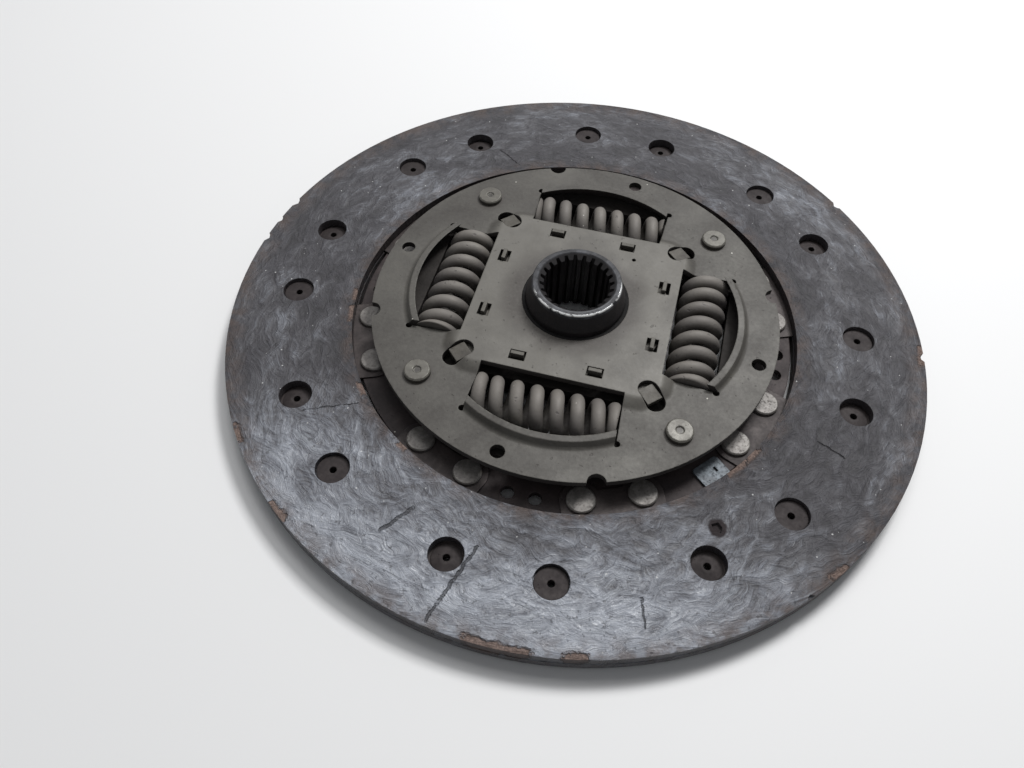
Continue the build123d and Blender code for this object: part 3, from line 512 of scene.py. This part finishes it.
def freckled_metal(name, base, light, fleck, metallic, rough):
    """Metal in two cloudy tones, freckled and smeared with grease of the colour fleck."""
    material, shader, node = new_material(name)
    place = place_in_mm(node)
    cloud = node("TexNoise", place, 1 / 2.4, 4.0, 0.6, 2.0, 0.5)
    freckles = node("MapRange", node("TexNoise", place, 1 / 0.8, 3.0, 0.7), 0.52, 0.64)
    grease = node("MapRange", node("TexNoise", place, 1 / 4.5, 3.0, 0.6), 0.46, 0.62)
    colour = node("Mix", node("MapRange", cloud, 0.38, 0.62), base, light, data_type="RGBA")
    colour = paint(node, colour, freckles, 0.30, fleck)
    colour = paint(node, colour, grease, 0.40, fleck)
    feed(shader["Base Color"], colour)
    feed(shader["Metallic"], metallic)
    feed(shader["Roughness"], node("Math", freckles, 0.2, rough, operation="MULTIPLY_ADD"))
    rounded = node("Bevel", 0.25 * MM, samples=4)
    feed(shader["Normal"], node("Bump", 1.0, 0.08 * MM, None, cloud, rounded))
    return material


rubbed_rivet = freckled_metal("rubbed_segment_rivet_steel", "#67635f", "#7f7b77", "#45403e", 0.25, 0.50)
zinc_clip = freckled_metal("greasy_zinc_plated_clip", "#474c51", "#5b6268", "#2e2f32", 0.35, 0.50)
print("bright metals made")

# %% [markdown]
# ## Hub
# The hub is blackened steel. Its nose has been knocked and rubbed on one side of its rim, where the black is
# gone and bright bare steel shows as a thin nicked arc, painted near white as a highlight as well; the ring
# behind that edge is a dark blue grey with smudges, and the broached mouth and the long side stay near black
# with a little sheen. The mouth's inner edge carries a painted sheen toward -Y.

# %% Blackened hub with a rubbed nose
# Heights, and distances from the axis, between which each part of the nose begins.
nose_top_heights, nose_top_radii = (19.0, 19.5), (12.9, 13.3)
nose_edge_heights, nose_edge_radii = (19.98, 20.22), (14.95, 15.05)
mouth_edge_radii = (13.9, 13.5)


def hub_finish(name):
    """Black sides, a smudged grey top, the bright arc on its outer edge, bare steel with a painted highlight,
    and an inner edge paler toward -Y by a painted sheen.
    """
    material, shader, node = new_material(name)
    place = place_in_mm(node)
    height = node("SeparateXYZ", place, out="Z")
    radius, direction = axis_distance(node, place), axis_direction(node, place)
    cloud = node("TexNoise", place, 1 / 3.5, 4.0, 0.6, 2.0, 0.5)
    fine = node("TexNoise", place, 1 / 0.9, 3.0, 0.65)
    side = node("ValToRGB", cloud, stops=[(0.3, "#100e0f"), (0.55, "#181516"), (0.75, "#231f1f")])
    top = node("ValToRGB", cloud, stops=[(0.34, "#1c1c1f"), (0.5, "#303033"), (0.66, "#4b4c50")])
    is_top = node("Math", node("MapRange", height, *nose_top_heights),
                  node("MapRange", radius, *nose_top_radii), operation="MULTIPLY")
    colour = node("Mix", is_top, side, top, data_type="RGBA")
    # The rubbed arc, bare steel and a painted highlight: the outer edge break, on the side that faces -Y,
    # broken up by nicks.
    wobble = node("Math", fine, 0.5, radius, operation="MULTIPLY_ADD")
    edge = node("Math", node("MapRange", height, *nose_edge_heights),
                node("MapRange", wobble, *nose_edge_radii), operation="MULTIPLY")
    edge = node("Math", edge, facing_toward(node, direction, -69.0, 0.05, 0.3), operation="MULTIPLY")
    edge = node("Math", edge, node("MapRange", cloud, 0.40, 0.50), operation="MULTIPLY")
    colour = node("Mix", edge, colour, "#e0e0de", data_type="RGBA")
    # The mouth's inner edge is painted a touch lighter toward -Y: a painted sheen.
    mouth_sheen = node("Math", node("MapRange", radius, *mouth_edge_radii), is_top, operation="MULTIPLY")
    mouth_sheen = node("Math", mouth_sheen, facing_toward(node, direction, -80.0, 0.2, 0.7), operation="MULTIPLY")
    colour = paint(node, colour, mouth_sheen, 0.35, "#77787a")
    feed(shader["Base Color"], colour)
    feed(shader["Metallic"], node("Math", edge, 0.6, 0.15, operation="MULTIPLY_ADD"))
    feed(shader["Specular IOR Level"], 0.3)
    rough = node("MapRange", fine, 0.3, 0.7, 0.56, 0.44)
    feed(shader["Roughness"], node("Math", edge, -0.18, rough, operation="MULTIPLY_ADD"))
    rounded = node("Bevel", 0.2 * MM, samples=4)
    feed(shader["Normal"], node("Bump", 1.0, 0.06 * MM, None, fine, rounded))
    return material


hub_steel = hub_finish("blackened_hub_steel")
print("made", hub_steel.name)

# %% [markdown]
# ## Finishes for the CAD pieces
# Each CAD piece keeps its mesh and only gets its finish.

# %% Assign finishes
finishes = {
    "front_facing": lining, "rear_facing": lining,
    "front_facing_rivets": lining_rivet_steel, "rear_facing_rivets": lining_rivet_steel,
    "segment_rivets": rubbed_rivet, "carrier_plate": carrier_steel, "counter_plate": cover_sheet,
    "stop_rivets": stop_steel, "control_plate": control_steel, "diaphragm_spring": diaphragm_steel,
    "front_friction_washer": washer_lining, "front_bush": bush_nylon, "rear_friction_ring": bush_nylon,
    "balance_clip": zinc_clip, "hub": hub_steel, "hub_flange": flange_steel,
}
for name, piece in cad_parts.items():
    finish = finishes.get(name, segment_steel if name.startswith("cushion") else spring_wire_steel)
    piece.data.materials.clear()
    piece.data.materials.append(finish)
print("finishes set on", len(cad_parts), "pieces")

# %% [markdown]
# ## Damper springs
# A damper spring is wound hot with its first and last turns closed against their neighbours, then both ends
# are ground flat to sit on the window's sides. A curve with a bevel would give the wire but not the ground
# ends, so the surface is worked out: a helix whose pitch starts closed and opens smoothly, a circle of wire
# around every point of it, and the wire at each end cut off at the ground plane.

# %% Spring sizes and centre line
spring_wire = 2.3          # radius of the wire
spring_coil = 6.2          # radius of the helix
spring_turns = 8.1
spring_reach = 24.7        # the centre line's ends, either side of the spring's middle
spring_plane = 23.6        # the ground faces
closed_turns = 0.85        # at each end, and half a turn more until the coil is fully open
closed_pitch = 4.7         # mm a turn, where the wire touches its neighbour
spring_distance, spring_height = 43.2, 3.9
crown_turn = (0.45, 0.05, 0.82, 0.65)   # which part of a turn is on top, for each of the four springs
steps_per_turn, wire_sides = 34, 22


def spring_line():
    """Turns t and heights y of the centre line: pitch = closed + k * smoothstep of the distance from the
    nearer end, past the closed turns, with k such that the summed pitch spans the whole reach."""
    t = np.linspace(0.0, spring_turns, int(spring_turns * steps_per_turn) + 1)
    opening = np.clip((np.minimum(t, spring_turns - t) - closed_turns) / 0.5, 0.0, 1.0)
    opening = opening * opening * (3.0 - 2.0 * opening)
    step = np.diff(t)
    middle = (opening[1:] + opening[:-1]) / 2.0
    k = (2.0 * spring_reach - closed_pitch * spring_turns) / np.sum(middle * step)
    return t, np.concatenate([[0.0], np.cumsum((closed_pitch + k * middle) * step)]) - spring_reach


print("open pitch", round(float(np.diff(spring_line()[1]).max() * steps_per_turn), 2), "mm")

# %% Spring surface


def wire_surface(crown):
    """The wire around the centre line (coil sin a, y, coil cos a), a = 2 pi (t - crown).

    A ring of wire lies across the line at wire * (cos b * out + sin b * rise), with out pointing away from
    the coil's axis and rise along the spring. Points past the ground plane are laid in it instead, and reach
    out no further than the wire is wide there, sqrt(wire^2 - d^2), d being the line's distance from it."""
    t, y = spring_line()
    a = 2.0 * pi * (t - crown)
    out = np.stack([np.sin(a), np.zeros_like(a), np.cos(a)], -1)
    centre = spring_coil * out + np.stack([0 * y, y, 0 * y], -1)
    along = np.gradient(centre, axis=0)
    along /= np.linalg.norm(along, axis=1)[:, None]
    rise = np.cross(out, along)
    rise *= np.sign(rise[:, 1])[:, None]
    ring = np.linspace(0.0, 2.0 * pi, wire_sides, endpoint=False)
    tube = centre[:, None] + spring_wire * (np.cos(ring)[None, :, None] * out[:, None]
                                            + np.sin(ring)[None, :, None] * rise[:, None])
    past = np.abs(tube[..., 1]) > spring_plane
    room = np.sqrt(np.maximum(spring_wire ** 2 - np.maximum(spring_plane - np.abs(y), 0.0) ** 2, 0.0))[:, None]
    offset = np.clip(np.cos(ring)[None, :] * spring_wire, -room, room)
    ground = centre[:, None] + offset[..., None] * out[:, None]
    ground[..., 1] = np.sign(tube[..., 1]) * spring_plane
    return np.where(past[..., None], ground, tube)


def link_piece(name, points, faces, material, smooth=True):
    """Puts points in millimetres and faces into a new object at the origin."""
    mesh = bpy.data.meshes.new(name)
    mesh.from_pydata((points * MM).tolist(), [], faces)
    mesh.update()
    mesh.polygons.foreach_set("use_smooth", np.full(len(mesh.polygons), smooth))
    mesh.materials.append(material)
    piece = bpy.data.objects.new(name, mesh)
    scene.collection.objects.link(piece)
    return piece


def make_spring(number):
    """One spring, moved out to its window and turned by quarter turns, with closed flat ends."""
    tube = wire_surface(crown_turn[number])
    rows, columns = tube.shape[:2]
    index = np.arange(rows * columns).reshape(rows, columns)
    a, b = index[:-1], index[1:]
    walls = np.stack([a, np.roll(a, -1, 1), np.roll(b, -1, 1), b], -1).reshape(-1, 4)
    caps = [index[0][::-1].tolist(), index[-1].tolist()]
    angle = number * pi / 2
    turn = np.array([[cos(angle), -sin(angle), 0], [sin(angle), cos(angle), 0], [0, 0, 1]])
    points = (tube.reshape(-1, 3) + [spring_distance, 0.0, spring_height]) @ turn.T
    return link_piece(f"wound_spring_{number + 1}", points, walls.tolist() + caps, spring_wire_steel)


print("one spring has", wire_surface(crown_turn[0]).shape[0], "rings of", wire_sides, "points")

# %% [markdown]
# Each new spring joins the body of the springs, and the CAD spring that it replaces is hidden.

# %% Put the springs in their windows
for number in range(4):
    spring = make_spring(number)
    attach(spring, "springs")
    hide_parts(f"damper_spring_{number + 1}")
    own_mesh(spring)
print("triangles in one spring:", sum(len(p.vertices) - 2 for p in spring.data.polygons))

# %% [markdown]
# ## Floor, light and camera
# A pale floor under the disc, one large lamp high behind and to the right that models every rivet and lip, a
# broad soft lamp overhead that lays a sheen on the lining, and a low even sky. Together they light a level
# surface about as bright as its colour is written.

# %% Floor
floor_gap = 0.2            # mm under the lowest point, so that the two surfaces don't flicker
floor_half = 1500
floor_level = cad_low.z / MM - floor_gap
floor_paint, floor_shader, node = new_material("pale_floor_paint")
feed(floor_shader["Base Color"], "#ececec")
feed(floor_shader["Roughness"], 0.6)
floor_corners = np.array([[x * floor_half, y * floor_half, floor_level]
                          for x, y in ((-1, -1), (1, -1), (1, 1), (-1, 1))], float)
floor = link_piece("floor", floor_corners, [[0, 1, 2, 3]], floor_paint, smooth=False)
print("floor at", round(floor_level, 2), "mm")

# %% Light
world = bpy.data.worlds.new("studio")
scene.world = world
world.use_nodes = True
world.node_tree.nodes.clear()
sky = partial(add, world.node_tree)
rays = sky("LightPath").node.outputs
seen = sky("Math", rays["Is Camera Ray"], rays["Is Glossy Ray"], operation="MAXIMUM")
seen = sky("Math", seen, rays["Is Transmission Ray"], operation="MAXIMUM")
# The sky lights dull surfaces gently, and looks paler itself and in reflections.
sky_as_light, sky_as_seen = 0.20, 0.80
background = sky("Background", "#eef1f5", sky("MapRange", seen, 0.0, 1.0, sky_as_light, sky_as_seen))
feed(world.node_tree.nodes.new("ShaderNodeOutputWorld").inputs[0], background)
print("sky:", sky_as_light, "as light,", sky_as_seen, "as background")


def soft_lamp(name, azimuth, elevation, distance, share, size):
    """A square lamp at an azimuth and elevation in degrees, looking at the disc. A lamp of power P lights a
    facing surface at distance d with P / (pi d^2), and white looks white at pi, so P = share * pi^2 * d^2."""
    data = bpy.data.lights.new(name, "AREA")
    data.shape, data.size, data.energy = "SQUARE", size, share * (pi * distance) ** 2
    lamp = bpy.data.objects.new(name, data)
    a, e = radians(azimuth), radians(elevation)
    lamp.location = Vector((cos(e) * cos(a), cos(e) * sin(a), sin(e))) * distance
    lamp.rotation_mode = "QUATERNION"
    lamp.rotation_quaternion = (-lamp.location).to_track_quat("-Z", "Y")
    scene.collection.objects.link(lamp)
    return data.energy


powers = [soft_lamp("back_window", 68.0, 56.0, 1.2, 0.78, 0.30),
          soft_lamp("overhead", 106.0, 69.0, 1.3, 0.26, 0.50)]
print("lamp powers:", [round(power, 1) for power in powers])

# %% Camera
camera_data = bpy.data.cameras.new("camera")
camera_data.sensor_fit, camera_data.sensor_width, camera_data.lens = "HORIZONTAL", 36.0, 28.09
camera_data.clip_start, camera_data.clip_end = 0.01, 20
camera = bpy.data.objects.new("camera", camera_data)
right = Vector((0.96485, 0.26263, 0.01004))
down = Vector((0.22113, -0.79056, -0.57106))
forward = Vector((-0.14204, 0.55321, -0.82085))
turned = Matrix((right, -down, -forward)).transposed().to_4x4()
camera_place = Vector((24.57, -181.07, 220.52)) * MM
camera.matrix_world = Matrix.Translation(camera_place) @ turned
scene.collection.objects.link(camera)
scene.camera = camera
scene.view_settings.view_transform = "Standard"
print("camera at", [round(v / MM, 1) for v in camera.location], "mm")

# %% CAD box
print("CAD box", [round(v / MM, 2) for v in (*cad_low, *cad_high)])
